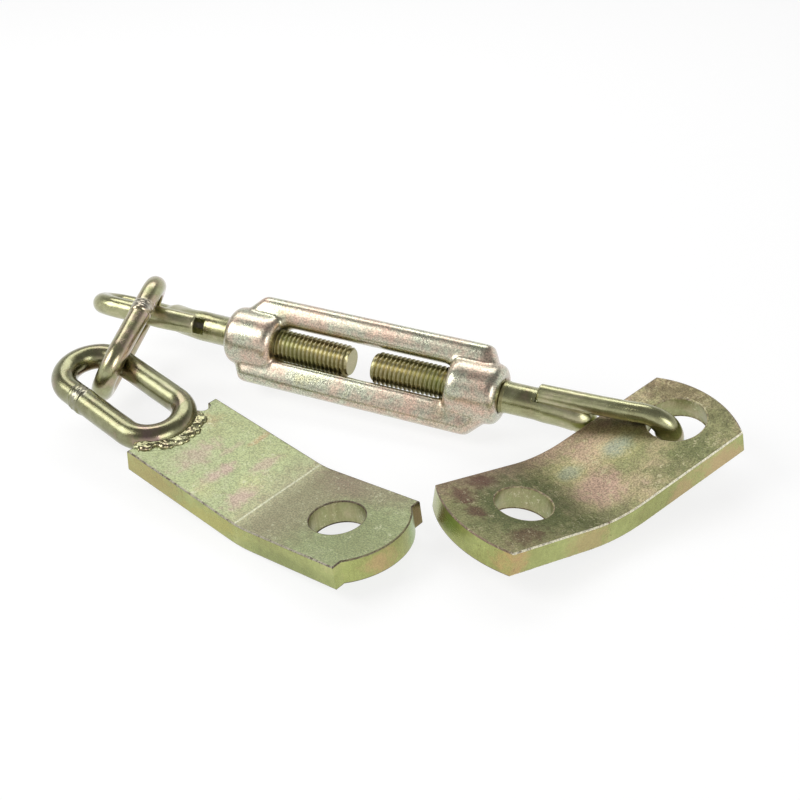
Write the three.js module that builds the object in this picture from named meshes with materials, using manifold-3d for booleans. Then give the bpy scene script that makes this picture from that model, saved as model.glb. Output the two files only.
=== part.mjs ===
// Tractor check chain with a turnbuckle, lying slack on the ground. Two eye bolts of opposite hand
// screw into an open forged body. A short link joins the left eye to a ring welded on a bent plate,
// and a second bent plate with two holes hangs on the right eye. Millimetres, +Z up, the chain along X.

import * as THREE from 'three';
import { mergeVertices } from 'three/addons/utils/BufferGeometryUtils.js';
import Module from 'manifold-3d';

const wasm = await Module();
wasm.setup();

const turn = THREE.MathUtils.degToRad;

// Values that every piece shares
const touchGap = 0.3;
const cutOverrun = 4;
const weldTolerance = 0.0001;
const roundFacets = 32;
const rodFacets = 12;
const curveSteps = 6;

// Forged body
const bodyLength = 145.5;
const bodyWidth = 44.6;
const windowLength = 93.2;
const windowCorner = 6;
const armWidth = 12.8;
const armDepth = 14;
const armBevel = 4;
const armBevelSteps = 3;
const endTaper = 14;
const outlineCorner = 5;
const bossDiameter = 29.6;
const bossLength = 26.8;
const bossRound = 4.5;

// Thread and neck of both bolts
const threadDiameter = 15.875;
const threadClearance = 0.52;
const threadTipChamfer = 1.2;
const tipGap = 12.6;
const threadOutside = 2;
const neckDiameter = 15.2;
const threadRunout = 0.6;
const stemShares = [[0.98, 0], [0.93, 0.25]];

// Flat bar of both plates
const plateThickness = 11.5;
const plateWidth = 55;
const endStock = 1;

// Eyes of both bolts
const leftEyeRod = 10.56;
const rightEyeRod = 9.2;
const leftEyePlay = 1.7;
const rightEyePlay = 1.8;
const eyeSteps = 44;
const leftDrawn = 34;
const rightDrawn = 17;
const leftNeck = 15.25;
const rightNeck = 18.05;
const leftEyeLength = 61.9;
const rightEyeLength = 63.7;
const leftTailNotch = 7.6;
const notchDepth = 5;

// Ring on the left plate
const ringRod = 12.5;
const ringLength = 73.1;
const ringInnerWidth = 18.1;
const ringLetIn = 3.8;
const copeGap = 0.42;
const ringAcross = 24;
const ringWeldAlong = -11.3;

// Short link
const linkRod = 10.5;
const linkLength = 66.45;
const linkPlay = 5.5;
const linkWeldAlong = 8;
const linkSteps = 40;

// Flash weld on a link or ring
const flashLength = 9;
const flashRise = 0.7;
const flashSeam = 1;
const flashCrestShare = 0.33;

// Left plate, lengths measured along each wing from the bend
const leftWingReach = 72;
const noseShoulder = 56.5;
const noseReach = 66;
const noseStep = 5;
const leftHoleAlong = 33.4;
const leftHoleDiameter = 24.6;
const leftBendRadius = 45;
const edgeNickAcross = 47.2;
const edgeNickDiameter = 5.8;
const edgeNickDepth = 2;

// Right plate
const leftEndCorner = 57;
const leftEndReach = 64.2;
const rightEndCorner = 71.5;
const rightEndReach = 79;
const firstHoleAlong = 30;
const firstHoleDiameter = 25.2;
const hangHoleAlong = 57.9;
const hangHoleDiameter = 27.2;
const rightBendRadius = 70;

// Weld bead between ring and plate, laid down in flat lumps
const beadRadius = 3.8;
const beadHeight = 0.6;
const beadFlatShare = 0.75;
const beadFacets = 12;

// Angles in degrees
const chainTilt = 1.9;
const bodyRoll = 55.2;
const leftSag = 0.7;
const rightSag = 0.25;
const leftEyeRoll = 29.76;
const rightEyeRoll = 102;
const leftBend = 14;
const rightBend = 23;

// How the loose pieces lie, each measured from the piece that carries it
const legOnLinkSlack = 13.73;
const legOnLinkSide = 3.96;
const legOnLinkLift = 3.44;
const barOnLinkSlack = 17.82;
const barOnLinkSide = 0.77;
const barOnLinkLift = 3.12;
const bendInHoleAlong = -3.63;
const bendInHoleAcross = -1.45;
const bendInHoleUp = -2.56;
const linkOnLegShare = [0.593, 0.95];
const bendEndShare = [1, -0.166];
const barOnRingAngle = 66.4;
const ringAttitude = { z: -2.3, y: 0, x: 4.4 };
const linkAttitude = { z: 97.55, y: -14.77, x: -61.74 };
const leftPlateAttitude = { z: -16.62, y: -7.14, x: -0.6 };
const rightPlateAttitude = { z: 56.92, y: 9.99, x: 0.55 };

// Route of each eye, from the neck round the bend to the tail. The first share is of the eye's
// length, the second of half its width.
const leftEyeShares = [
  [-0.05, 0], [0.09, 0], [0.194, -0.1], [0.314, -0.48], [0.434, -0.83], [0.571, -0.99], [0.708, -1.02],
  [0.828, -1], [0.949, -0.71], [1, 0], [0.949, 0.71], [0.828, 1], [0.708, 1.0], [0.571, 0.95], [0.4, 0.8],
  [0.271, 0.68], [0, 0.6],
];
const rightEyeShares = [
  [-0.06, -0.05], [0.06, -0.15], [0.19, -0.34], [0.28, -0.6], [0.36, -1], [0.45, -1.34], [0.54, -1.44],
  [0.66, -1.38],
  [0.825, -1.166], [0.948, -0.87], [1, -0.166], [0.948, 0.54], [0.825, 0.834], [0.63, 0.79],
  [0.443, 0.74], [0.223, 0.7], [0.1, 0.68], [0, 0.67],
];

// Lumps of the bead round the let-in bend: the turn from its middle as a share of a quarter turn,
// the reach beyond the ring's rod as a share of the bead's radius, and the lump's own size as a share.
const beadShares = [
  [-0.7, 0.2, 0.8], [-0.6, 0.3, 1], [-0.5, 0.25, 0.95], [-0.4, 0.2, 1], [-0.3, 0.15, 1], [-0.2, 0.3, 1.1],
  [-0.1, 0.4, 1.15], [0, 0.35, 1.1], [0.1, 0.25, 1.05], [0.2, 0.2, 1], [0.3, 0.3, 1.1], [0.4, 0.3, 1.05],
  [0.5, 0.1, 0.8], [0.58, 0, 0.7],
];

// Derived sizes
const halfBody = bodyLength / 2;
const leftEyeWidth = linkRod + leftEyePlay + leftEyeRod;
const rightEyeWidth = plateThickness + rightEyePlay + rightEyeRod;
const linkWidth = ringRod + linkPlay + linkRod;
const ringWidth = ringInnerWidth + ringRod;
const copeDiameter = ringWidth + ringRod + 2 * copeGap;
const copeAlong = leftWingReach - ringLetIn + ringWidth / 2 * Math.cos(turn(ringAttitude.z));
const copeAcross = ringAcross - ringWidth / 2 * Math.sin(turn(ringAttitude.z));

// A closed geometry becomes a solid
function solidOf(geometry) {
  geometry.deleteAttribute('normal');
  geometry.deleteAttribute('uv');
  const merged = mergeVertices(geometry, weldTolerance);
  const index = merged.index.array;
  const kept = [];
  for (let i = 0; i < index.length; i += 3) {
    const [a, b, c] = [index[i], index[i + 1], index[i + 2]];
    if (a !== b && b !== c && c !== a) {
      kept.push(a, b, c);
    }
  }
  return new wasm.Manifold(new wasm.Mesh({
    numProp: 3,
    vertProperties: merged.attributes.position.array,
    triVerts: Uint32Array.from(kept),
  }));
}

// Revolved solid about X, from a profile of radius and station
function revolved(profile, facets) {
  const geometry = new THREE.LatheGeometry(profile, facets);
  geometry.rotateZ(turn(-90));
  return solidOf(geometry);
}

// Round bar along a route
function barAlong(points, diameter, steps) {
  const section = new THREE.Shape();
  section.absarc(0, 0, diameter / 2, 0, Math.PI * 2, false);
  const route = new THREE.CatmullRomCurve3(points, false, 'centripetal');
  const options = { steps, extrudePath: route, curveSegments: rodFacets / 2 };
  return solidOf(new THREE.ExtrudeGeometry(section, options));
}

// Closed outline whose corners are rounded alike
function roundedOutline(corners, radius, target) {
  const count = corners.length;
  for (let i = 0; i < count; i += 1) {
    const corner = corners[i];
    const before = corners[(i + count - 1) % count].clone().sub(corner).setLength(radius).add(corner);
    const after = corners[(i + 1) % count].clone().sub(corner).setLength(radius).add(corner);
    if (i === 0) {
      target.moveTo(before.x, before.y);
    } else {
      target.lineTo(before.x, before.y);
    }
    target.quadraticCurveTo(corner.x, corner.y, after.x, after.y);
  }
  target.closePath();
  return target;
}

// Forged body: a bevelled frame with a window, a round boss at each end, bored through
function turnbuckleBody() {
  const halfWidth = bodyWidth / 2;
  const bossRadius = bossDiameter / 2;
  const frameEnd = halfBody - bossRound;
  const mouth = bossRadius - bossRound / 2;
  const ring = [
    new THREE.Vector2(frameEnd, -mouth), new THREE.Vector2(frameEnd, mouth),
    new THREE.Vector2(halfBody - endTaper, halfWidth), new THREE.Vector2(endTaper - halfBody, halfWidth),
    new THREE.Vector2(-frameEnd, mouth), new THREE.Vector2(-frameEnd, -mouth),
    new THREE.Vector2(endTaper - halfBody, -halfWidth), new THREE.Vector2(halfBody - endTaper, -halfWidth),
  ];
  const outline = roundedOutline(ring, outlineCorner, new THREE.Shape());
  const gapHalf = halfWidth - armWidth;
  const pane = [
    new THREE.Vector2(windowLength / 2, -gapHalf), new THREE.Vector2(-windowLength / 2, -gapHalf),
    new THREE.Vector2(-windowLength / 2, gapHalf), new THREE.Vector2(windowLength / 2, gapHalf),
  ];
  outline.holes.push(roundedOutline(pane, windowCorner, new THREE.Path()));
  const frameGeometry = new THREE.ExtrudeGeometry(outline, {
    depth: armDepth - 2 * armBevel,
    bevelThickness: armBevel,
    bevelSize: armBevel,
    bevelOffset: -armBevel,
    bevelSegments: armBevelSteps,
    curveSegments: curveSteps,
  });
  frameGeometry.translate(0, 0, armBevel - armDepth / 2);
  let solid = solidOf(frameGeometry);
  for (const side of [-1, 1]) {
    const profile = new THREE.Path();
    const inner = halfBody - bossLength;
    profile.moveTo(0, inner);
    profile.lineTo(bossRadius - bossRound, inner);
    profile.quadraticCurveTo(bossRadius, inner, bossRadius, inner + bossRound);
    profile.lineTo(bossRadius, halfBody - bossRound);
    profile.quadraticCurveTo(bossRadius, halfBody, bossRadius - bossRound, halfBody);
    profile.lineTo(0, halfBody);
    const boss = new THREE.LatheGeometry(profile.getPoints(curveSteps), roundFacets);
    boss.rotateZ(turn(-90 * side));
    solid = solid.add(solidOf(boss));
  }
  const boreRadius = threadDiameter / 2 + threadClearance;
  const bore = new THREE.CylinderGeometry(boreRadius, boreRadius, bodyLength + 2 * cutOverrun, roundFacets);
  bore.rotateZ(turn(90));
  return solid.subtract(solidOf(bore));
}

// Places on an eye's route, in the bolt's own frame
function eyePoints(shares, step, eyeLength, eyeWidth, tailNotch) {
  return shares.map(([along, across], i) => {
    const last = i === shares.length - 1;
    const station = step + along * eyeLength + (last ? tailNotch : 0);
    return new THREE.Vector3(station, across * eyeWidth / 2, 0);
  });
}

// Eye bolt along X: threaded end, neck, drawn-down stem, eye and tail
function eyeBolt(eyeRod, neckLength, drawn, eyeLength, eyeWidth, shares, tailNotch) {
  const tip = tipGap / 2;
  const step = halfBody + neckLength;
  const threadRadius = threadDiameter / 2;
  const neckRadius = neckDiameter / 2;
  const threadEnd = halfBody + threadOutside;
  const shank = revolved([
    new THREE.Vector2(0, tip),
    new THREE.Vector2(threadRadius - threadTipChamfer, tip),
    new THREE.Vector2(threadRadius, tip + threadTipChamfer),
    new THREE.Vector2(threadRadius, threadEnd),
    new THREE.Vector2(neckRadius, threadEnd + threadRunout),
    new THREE.Vector2(neckRadius, step),
    new THREE.Vector2(0, step),
  ], roundFacets);
  const route = eyePoints(shares, step, eyeLength, eyeWidth, tailNotch);
  const rod = barAlong(route, eyeRod, eyeSteps);
  const stemStart = new THREE.Vector3(step, 0, 0);
  const stemCurve = new THREE.CatmullRomCurve3(route, false, 'centripetal');
  const stemEnd = stemCurve.getPointAt(drawn / stemCurve.getLength());
  const heading = stemEnd.clone().sub(stemStart);
  const stemLength = heading.length();
  const cone = new THREE.LatheGeometry([
    new THREE.Vector2(0, -threadRunout),
    new THREE.Vector2(neckRadius * stemShares[0][0], -threadRunout),
    new THREE.Vector2(neckRadius * stemShares[1][0], stemLength * stemShares[1][1]),
    new THREE.Vector2(eyeRod / 2, stemLength),
    new THREE.Vector2(0, stemLength),
  ], roundFacets);
  cone.rotateZ(Math.atan2(heading.y, heading.x) - Math.PI / 2);
  cone.translate(stemStart.x, stemStart.y, stemStart.z);
  let solid = shank.add(rod).add(solidOf(cone));
  if (tailNotch > 0) {
    const notch = new THREE.BoxGeometry(tailNotch, notchDepth + cutOverrun, neckDiameter + cutOverrun);
    notch.translate(step + tailNotch / 2, neckRadius + cutOverrun / 2 - notchDepth / 2, 0);
    solid = solid.subtract(solidOf(notch));
  }
  return solid;
}

// Closed link in the XY plane, long along X, bent from one bar whose ends meet in a flash weld
// on the -Y side
function chainLink(rodDiameter, length, width, weldAlong, swell) {
  const bend = width / 2;
  const straight = length / 2 - bend;
  const path = new THREE.Path();
  path.moveTo(weldAlong + flashSeam / 2, -bend);
  path.lineTo(straight, -bend);
  path.absarc(straight, 0, bend, turn(-90), turn(90), false);
  path.lineTo(-straight, bend);
  path.absarc(-straight, 0, bend, turn(90), turn(270), false);
  path.lineTo(weldAlong - flashSeam / 2, -bend);
  const route = path.getSpacedPoints(linkSteps).map((p) => new THREE.Vector3(p.x, p.y, 0));
  const rod = barAlong(route, rodDiameter + 2 * swell, linkSteps);
  const rodRadius = rodDiameter / 2 + swell;
  const flashReach = flashLength / 2 + swell;
  const flash = new THREE.LatheGeometry([
    new THREE.Vector2(0, -flashReach),
    new THREE.Vector2(rodRadius, -flashReach),
    new THREE.Vector2(rodRadius + flashRise, -flashReach * flashCrestShare),
    new THREE.Vector2(rodRadius + flashRise, flashReach * flashCrestShare),
    new THREE.Vector2(rodRadius, flashReach),
    new THREE.Vector2(0, flashReach),
  ], rodFacets * 2);
  flash.rotateZ(turn(-90));
  flash.translate(weldAlong, -bend, 0);
  return rod.add(solidOf(flash));
}

// Bent bar as a side profile drawn out across its width. The top faces meet at the origin, the
// left wing rises by leftAngle and the right wing by rightAngle.
function bentBar(leftAngle, rightAngle, bendRadius, leftReach, rightReach) {
  const leftDir = new THREE.Vector2(-Math.cos(leftAngle), Math.sin(leftAngle));
  const rightDir = new THREE.Vector2(Math.cos(rightAngle), Math.sin(rightAngle));
  const leftDown = new THREE.Vector2(-Math.sin(leftAngle), -Math.cos(leftAngle));
  const rightDown = new THREE.Vector2(Math.sin(rightAngle), -Math.cos(rightAngle));
  leftDown.multiplyScalar(plateThickness);
  rightDown.multiplyScalar(plateThickness);
  const halfBend = (leftAngle + rightAngle) / 2;
  const bisector = Math.PI / 2 + (rightAngle - leftAngle) / 2;
  const reach = bendRadius / Math.cos(halfBend);
  const centre = new THREE.Vector2(Math.cos(bisector), Math.sin(bisector)).multiplyScalar(reach);
  const start = -Math.PI / 2 + rightAngle;
  const end = -Math.PI / 2 - leftAngle;
  const rightTop = rightDir.clone().multiplyScalar(rightReach);
  const leftTop = leftDir.clone().multiplyScalar(leftReach);
  const profile = new THREE.Shape();
  profile.moveTo(rightTop.x + rightDown.x, rightTop.y + rightDown.y);
  profile.lineTo(rightTop.x, rightTop.y);
  profile.absarc(centre.x, centre.y, bendRadius, start, end, true);
  profile.lineTo(leftTop.x, leftTop.y);
  profile.lineTo(leftTop.x + leftDown.x, leftTop.y + leftDown.y);
  profile.absarc(centre.x, centre.y, bendRadius + plateThickness, end, start, false);
  profile.closePath();
  const geometry = new THREE.ExtrudeGeometry(profile, {
    depth: plateWidth,
    bevelEnabled: false,
    curveSegments: curveSteps,
  });
  geometry.rotateX(turn(90));
  geometry.translate(0, plateWidth, 0);
  return solidOf(geometry);
}

// What is sheared off the end of a wing to leave a curved end between two corners
function endCutter(side, angle, corner, apex, step) {
  const chord = plateWidth - 2 * step;
  const rise = apex - corner;
  const radius = (chord * chord / 4 + rise * rise) / (2 * rise);
  const spread = Math.asin(chord / 2 / radius);
  const shape = new THREE.Shape();
  shape.moveTo(corner, -cutOverrun);
  shape.lineTo(corner, step);
  shape.absarc(apex - radius, plateWidth / 2, radius, -spread, spread, false);
  shape.lineTo(corner, plateWidth + cutOverrun);
  shape.lineTo(apex + cutOverrun, plateWidth + cutOverrun);
  shape.lineTo(apex + cutOverrun, -cutOverrun);
  shape.closePath();
  const geometry = new THREE.ExtrudeGeometry(shape, {
    depth: plateThickness + 2 * cutOverrun,
    bevelEnabled: false,
    curveSegments: 2 * curveSteps,
  });
  geometry.translate(0, -plateWidth / 2, -plateThickness - cutOverrun);
  if (side < 0) {
    geometry.rotateZ(Math.PI);
  }
  geometry.translate(0, plateWidth / 2, 0);
  geometry.rotateY(-side * angle);
  return solidOf(geometry);
}

// Round cutter square to a wing
function holeCutter(side, angle, along, across, diameter) {
  const height = plateThickness + 2 * cutOverrun;
  const geometry = new THREE.CylinderGeometry(diameter / 2, diameter / 2, height, roundFacets);
  geometry.rotateX(turn(90));
  geometry.translate(side * along, across, -plateThickness / 2);
  geometry.rotateY(-side * angle);
  return solidOf(geometry);
}

function leftPlate() {
  const bend = turn(leftBend);
  const bar = bentBar(bend, 0, leftBendRadius, leftWingReach, noseReach + endStock);
  const nickAlong = leftWingReach + edgeNickDiameter / 2 - edgeNickDepth;
  return bar
    .subtract(endCutter(1, 0, noseShoulder, noseReach, noseStep))
    .subtract(holeCutter(1, 0, leftHoleAlong, plateWidth / 2, leftHoleDiameter))
    .subtract(holeCutter(-1, bend, nickAlong, edgeNickAcross, edgeNickDiameter))
    .subtract(holeCutter(-1, bend, copeAlong, copeAcross, copeDiameter));
}

function rightPlate() {
  const bend = turn(rightBend);
  const bar = bentBar(0, bend, rightBendRadius, leftEndReach + endStock, rightEndReach + endStock);
  return bar
    .subtract(endCutter(-1, 0, leftEndCorner, leftEndReach, 0))
    .subtract(endCutter(1, bend, rightEndCorner, rightEndReach, 0))
    .subtract(holeCutter(-1, 0, firstHoleAlong, plateWidth / 2, firstHoleDiameter))
    .subtract(holeCutter(1, bend, hangHoleAlong, plateWidth / 2, hangHoleDiameter));
}

// Weld bead in the frame of the left wing, where -X runs out along the wing
function plateWeld(ringSpace, plateSpace) {
  let bead = null;
  for (const [turned, out, size] of beadShares) {
    const lump = new THREE.SphereGeometry(beadRadius * size, beadFacets, beadFacets / 2);
    lump.rotateX(turn(90));
    lump.scale(1, 1, beadFlatShare);
    const reach = copeDiameter / 2 + out * beadRadius;
    const angle = turned * turn(90);
    lump.translate(reach * Math.cos(angle) - copeAlong, copeAcross + reach * Math.sin(angle), beadHeight);
    const next = solidOf(lump);
    bead = bead ? bead.add(next) : next;
  }
  const pieces = bead.subtract(ringSpace).subtract(plateSpace).decompose();
  pieces.sort((a, b) => b.volume() - a.volume());
  return pieces[0];
}

// Zinc-plated finishes
const plateFinish = { color: 0x98a06c, roughness: 0.42, metalness: 0.85 };
const rodFinish = { color: 0xa4ac78, roughness: 0.25, metalness: 0.95 };
const forgedFinish = { color: 0xb0a58c, roughness: 0.5, metalness: 0.85 };
const boltFinish = { color: 0x9a9866, roughness: 0.32, metalness: 0.9 };
const weldFinish = { color: 0x9a9a8a, roughness: 0.6, metalness: 0.8 };

function piece(name, solid, finish) {
  const { vertProperties, triVerts } = solid.getMesh();
  const geometry = new THREE.BufferGeometry();
  geometry.setAttribute('position', new THREE.BufferAttribute(vertProperties, 3));
  geometry.setIndex(new THREE.BufferAttribute(triVerts, 1));
  geometry.computeVertexNormals();
  const mesh = new THREE.Mesh(geometry, new THREE.MeshStandardMaterial(finish));
  mesh.name = name;
  return mesh;
}

function setAttitude(object, attitude) {
  object.rotation.set(turn(attitude.x), turn(attitude.y), turn(attitude.z), 'ZYX');
  object.updateMatrix();
}

const part = new THREE.Group();
const lying = new THREE.Group();
part.add(lying);

// Turnbuckle and its bolts share one axis, the left end a little higher
const chain = new THREE.Group();
chain.rotation.y = turn(chainTilt);
chain.updateMatrix();
lying.add(chain);

const body = piece('turnbuckle_body', turnbuckleBody(), forgedFinish);
body.rotation.x = turn(bodyRoll);
chain.add(body);

// Each bolt sags in its boss, the eye end up and the threaded end down
const bossMiddle = halfBody - bossLength / 2;
function hangBolt(bolt, side, sag) {
  const boss = new THREE.Group();
  boss.position.set(side * bossMiddle, 0, 0);
  boss.rotation.y = -side * turn(sag);
  bolt.position.set(-side * bossMiddle, 0, 0);
  boss.add(bolt);
  chain.add(boss);
}

const leftSolid = eyeBolt(
  leftEyeRod, leftNeck, leftDrawn, leftEyeLength, leftEyeWidth, leftEyeShares, leftTailNotch,
);
const leftBolt = piece('left_eye_bolt', leftSolid, boltFinish);
leftBolt.rotation.set(turn(leftEyeRoll), 0, Math.PI, 'ZYX');
hangBolt(leftBolt, -1, leftSag);

const rightSolid = eyeBolt(
  rightEyeRod, rightNeck, rightDrawn, rightEyeLength, rightEyeWidth, rightEyeShares, 0,
);
const rightBolt = piece('right_eye_bolt', rightSolid, boltFinish);
rightBolt.rotation.x = turn(rightEyeRoll);
hangBolt(rightBolt, 1, rightSag);

// The short link lies over the near leg of the left eye
part.updateMatrixWorld(true);
const eyePlace = (neckLength, eyeLength, eyeWidth, share) => (
  new THREE.Vector3(halfBody + neckLength + share[0] * eyeLength, share[1] * eyeWidth / 2, 0)
);
const leg = leftBolt.localToWorld(eyePlace(leftNeck, leftEyeLength, leftEyeWidth, linkOnLegShare));
const link = piece('middle_link', chainLink(linkRod, linkLength, linkWidth, linkWeldAlong, 0), rodFinish);
setAttitude(link, linkAttitude);
const legOnLink = new THREE.Vector3(linkLength / 2 - legOnLinkSlack, legOnLinkSide, legOnLinkLift);
link.position.copy(leg).sub(legOnLink.applyEuler(link.rotation));
lying.add(link);

// The ring, its weld and the left plate are one rigid piece that the link holds by the ring's bend
const leftEnd = new THREE.Group();
setAttitude(leftEnd, leftPlateAttitude);
lying.add(leftEnd);
const wing = new THREE.Group();
wing.rotation.y = turn(leftBend);
leftEnd.add(wing);
const ringSolid = chainLink(ringRod, ringLength, ringWidth, ringWeldAlong, 0);
const ring = piece('welded_link', ringSolid, rodFinish);
setAttitude(ring, ringAttitude);
const ringHalf = new THREE.Vector3(ringLength / 2, 0, 0).applyEuler(ring.rotation);
ring.position.set(ringLetIn - leftWingReach, ringAcross, 0).sub(ringHalf);
ring.updateMatrix();
wing.add(ring);
const ringSpace = chainLink(ringRod, ringLength, ringWidth, ringWeldAlong, touchGap)
  .transform(ring.matrix.toArray());
const wingLength = leftWingReach + copeDiameter;
const plateSpace = new THREE.BoxGeometry(wingLength, 2 * plateWidth, wingLength);
plateSpace.translate(wingLength / 2 - leftWingReach - touchGap, plateWidth / 2, touchGap - wingLength / 2);
wing.add(piece('link_plate_weld', plateWeld(ringSpace, solidOf(plateSpace)), weldFinish));
leftEnd.add(piece('left_plate', leftPlate(), plateFinish));
const barAngle = turn(barOnRingAngle);
const ringBend = ringWidth / 2;
const barInWing = new THREE.Vector3(
  -(ringLength / 2 - ringBend + ringBend * Math.cos(barAngle)),
  ringBend * Math.sin(barAngle),
  0,
).applyMatrix4(ring.matrix);
part.updateMatrixWorld(true);
const barOnLink = new THREE.Vector3(barOnLinkSlack - linkLength / 2, barOnLinkSide, barOnLinkLift);
const barFromBend = wing.localToWorld(barInWing);
leftEnd.position.copy(link.localToWorld(barOnLink)).sub(barFromBend);

// The right plate hangs by its outer hole on the bend of the right eye
const rightEnd = piece('right_plate', rightPlate(), plateFinish);
setAttitude(rightEnd, rightPlateAttitude);
const bendEnd = rightBolt.localToWorld(eyePlace(rightNeck, rightEyeLength, rightEyeWidth, bendEndShare));
const bendInWing = new THREE.Vector3(
  hangHoleAlong + bendInHoleAlong,
  plateWidth / 2 + bendInHoleAcross,
  bendInHoleUp - plateThickness / 2,
);
bendInWing.applyAxisAngle(new THREE.Vector3(0, 1, 0), -turn(rightBend));
rightEnd.position.copy(bendEnd).sub(bendInWing.applyEuler(rightEnd.rotation));
lying.add(rightEnd);

// The origin is under the middle of the whole part, on the ground
part.updateMatrixWorld(true);
const box = new THREE.Box3().setFromObject(part, true);
lying.position.set(-(box.min.x + box.max.x) / 2, -(box.min.y + box.max.y) / 2, -box.min.z);
part.updateMatrixWorld(true);

export default part;
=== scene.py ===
import math
import random
import bmesh
import bpy
from mathutils import Euler, Matrix, Vector, noise


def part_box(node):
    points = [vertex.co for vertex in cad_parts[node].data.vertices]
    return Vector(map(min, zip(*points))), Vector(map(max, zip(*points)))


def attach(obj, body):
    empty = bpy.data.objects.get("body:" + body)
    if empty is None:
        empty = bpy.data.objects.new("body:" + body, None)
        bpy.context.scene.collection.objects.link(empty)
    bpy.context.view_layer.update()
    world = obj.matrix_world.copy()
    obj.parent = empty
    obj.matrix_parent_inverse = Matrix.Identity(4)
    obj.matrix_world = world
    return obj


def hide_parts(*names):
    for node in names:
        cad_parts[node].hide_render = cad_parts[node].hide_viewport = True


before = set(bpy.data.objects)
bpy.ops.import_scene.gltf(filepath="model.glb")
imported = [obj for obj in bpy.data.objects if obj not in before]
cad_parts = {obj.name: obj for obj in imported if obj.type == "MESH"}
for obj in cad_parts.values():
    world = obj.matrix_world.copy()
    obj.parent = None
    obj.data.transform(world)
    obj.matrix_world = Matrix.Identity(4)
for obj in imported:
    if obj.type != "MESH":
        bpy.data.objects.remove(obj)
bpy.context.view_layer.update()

# A turnbuckle check chain in yellow zinc, lying slack on a pale studio floor.
# Lengths in the dictionaries are in millimetres, angles in degrees.

mm = 0.001
dice = random.Random(7)


def turned(x=0, y=0, z=0):
    return Euler([math.radians(a) for a in (x, y, z)], "XYZ").to_matrix().to_4x4()


def moved(x=0, y=0, z=0):
    return Matrix.Translation(Vector((x, y, z)) * mm)


def smoothStep(value, low, high):
    share = min(1, max(0, (value - low) / (high - low)))
    return share * share * (3 - 2 * share)


# How the chain lies, and the turns of its loose pieces about x, y and z
lie = {
    "chainTilt": 1.9, "bodyRoll": 51.2, "bossMiddle": 59.35,
    "leftSag": 0.7, "leftRoll": 29.76, "rightSag": 0.25, "rightRoll": 102,
    "linkTurn": (-61.74, -14.77, 97.55), "ringTurn": (4.4, 0, -2.3),
    "leftPlateTurn": (-0.6, -7.14, -16.62), "rightPlateTurn": (0.55, 9.99, 56.92),
}
bolt = {
    "tip": 6.3, "threadEnd": 74.75, "threadRadius": 7.94, "pitch": 2.309, "threadDepth": 1.2,
    "threadShares": [(0, 1), (0.12, 1), (0.43, 0), (0.69, 0)], "threadSides": 64, "fadeTurns": 2,
    "tipDropShare": 1.2, "tipSlope": 0.9,
    "neckRadius": 7.6, "neckStart": 0.9, "neckStop": 2.6, "neckOverlap": 1, "neckTuck": 0.2,
    "neckEase": (2, 12), "tailEase": 7, "tailRound": 0.7,
    "leadIn": (3, 1.5), "rodSides": 56, "rodStep": 0.35, "fineBeyond": 1.2, "leastRadius": 0.4,
    "roughness": 0.03, "roughnessScale": 0.35, "roughnessSeed": 9, "roughnessTurn": 2, "sharpAngle": 38,
    "fillBand": (141, 153), "leastCosine": 0.05,
    "pocketWall": 0.1, "pocketRise": 1.5, "threadFinishOver": 0.2, "mergeGap": 0.002, "sliverGap": 0.0005,
    "leftStep": 88, "leftReach": 61.9, "leftHalf": 11.38,
    "rightStep": 90.8, "rightReach": 63.7, "rightHalf": 11.25,
}
link = {"rod": 5.25, "length": 66.45, "width": 28.5, "weldAlong": 8, "weldTurn": 0.6, "weldRise": 0.62}
ring = {
    "rod": 6.25, "length": 73.1, "width": 30.6, "weldAlong": -11.3, "weldTurn": -0.4, "weldRise": 0.5,
    "letIn": 3.8, "across": 24,
}
plate = {
    "thickness": 11.5, "width": 55, "edge": 0.62, "edgeSteps": 2, "holeSteps": 144, "endSteps": 28,
    "biteSteps": 24, "copeSteps": 48,
    "bendCuts": 8, "levelShares": (0.3, 0.55, 0.62, 0.8), "breakout": 0.45, "breakoutShares": (0.56, 0.8),
    "holeRim": 0.9, "rimGap": 0.05, "faceSlant": 0.98, "edgeSlant": 0.15, "mergeGap": 0.005,
    "sharpAngle": 40,
}
leftCut = {
    "wing": 72, "noseShoulder": 56.5, "nose": 66, "noseStep": 5, "holes": [(33.4, 27.5, 12.3)],
    "cope": (-83.49, 24.61, 21.2), "bite": (-72.6, 46.3, 3.7), "bend": 14, "bendRadius": 45,
}
rightCut = {
    "leftCorner": 57, "leftEnd": 64.2, "rightCorner": 71.5, "rightEnd": 79,
    "holes": [(-30, 27.5, 12.6), (57.9, 27.5, 13.6)], "bend": 23, "bendRadius": 70,
}

# Where two pieces touch: a place on one, and the same place on the other
touch = {
    "legShares": (0.593, 0.95), "legOnLink": (19.49, 3.96, 3.44),
    "barTurn": 66.4, "barOnLink": (-15.41, 0.77, 3.12),
    "eyeEndShare": -0.166, "eyeFromHole": (-3.63, -1.45, -2.56),
}

lowBody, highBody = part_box("turnbuckle_body")
bodyCentre = (Vector(lowBody) + Vector(highBody)) / 2
chainFrame = Matrix.Translation(bodyCentre) @ turned(y=lie["chainTilt"])
bodyFrame = chainFrame @ turned(x=lie["bodyRoll"])


def boltFrame(side, sag, own):
    boss = moved(x=side * lie["bossMiddle"]) @ turned(y=-side * sag) @ moved(x=-side * lie["bossMiddle"])
    return chainFrame @ boss @ own


# A frame with its own turn that brings a place on the piece to a place in the scene
def hungFrame(turn, ownPlace, place):
    return Matrix.Translation(place - turn @ ownPlace) @ turn


leftFrame = boltFrame(-1, lie["leftSag"], turned(x=lie["leftRoll"], z=180))
rightFrame = boltFrame(1, lie["rightSag"], turned(x=lie["rightRoll"]))

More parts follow.
